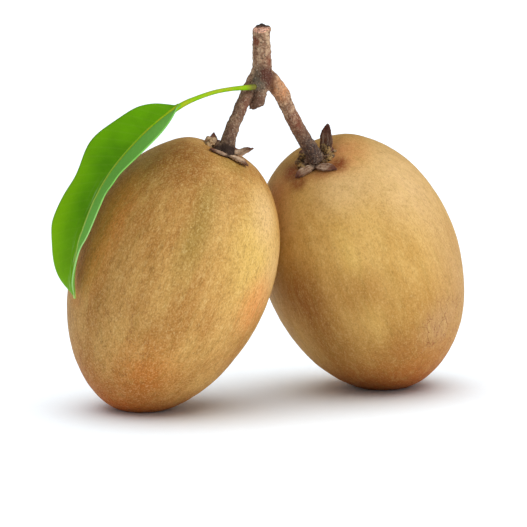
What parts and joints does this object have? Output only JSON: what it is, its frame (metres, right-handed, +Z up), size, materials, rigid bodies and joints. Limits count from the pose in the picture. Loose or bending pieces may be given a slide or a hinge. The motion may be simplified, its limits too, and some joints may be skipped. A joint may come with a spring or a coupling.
{
  "type": "pair of sapodilla fruits on a twig with a leaf",
  "caption": "Egg-shaped brown fruits joined on a forked cut twig, with star-shaped calyces and a folded green leaf, resting upright on their blossom ends.",
  "frame": {"origin": "on the surface that the pair rests on, under the middle of its box", "axes": "+Z up, +X to the right and -Y to the front, where the leaf hangs"},
  "size_m": [0.1119, 0.0845, 0.104],
  "materials": {
    "fruit_skin": "dry golden-brown skin with a fine sandy scurf, matt",
    "calyx": "dry brown-grey sepals, matt",
    "bark": "rough grey-brown bark",
    "leaf": "fresh green leaf, glossy above"
  },
  "bodies": {
    "root": {"fruit_left": "fruit_skin", "fruit_right": "fruit_skin", "calyx_left": "calyx", "calyx_right": "calyx", "twig": "bark", "leaf": "leaf"}
  },
  "joints": []
}
